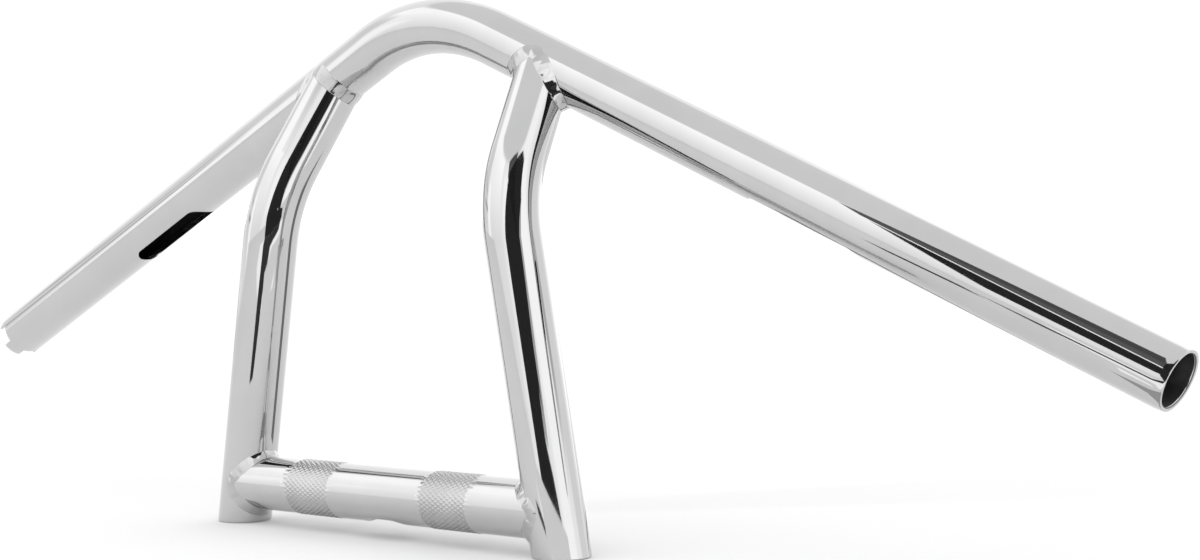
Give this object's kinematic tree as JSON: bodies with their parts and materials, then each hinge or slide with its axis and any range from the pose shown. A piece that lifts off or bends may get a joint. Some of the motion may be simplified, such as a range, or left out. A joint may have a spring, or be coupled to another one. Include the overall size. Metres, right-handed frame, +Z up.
{
  "type": "motorcycle handlebar",
  "caption": "Chromed tube handlebar on two bent risers, joined by a knurled crossbar, with open ends and wire slots.",
  "frame": {"origin": "the centre of the crossbar, midway between the two knurled clamp bands", "axes": "+X along the crossbar to the rider's left, +Y back to the rider, +Z up"},
  "size_m": [0.7308, 0.0758, 0.244],
  "materials": {
    "chrome_tube": "polished chrome plate",
    "weld_metal": "chrome plate over welds, slightly uneven"
  },
  "bodies": {
    "root": {"main_bar": "chrome_tube", "crossbar": "chrome_tube", "riser_left": "chrome_tube", "riser_right": "chrome_tube", "riser_cap_left": "weld_metal", "riser_cap_right": "weld_metal", "bar_weld_left": "weld_metal", "bar_weld_right": "weld_metal", "crossbar_weld_left": "weld_metal", "crossbar_weld_right": "weld_metal"}
  },
  "joints": []
}
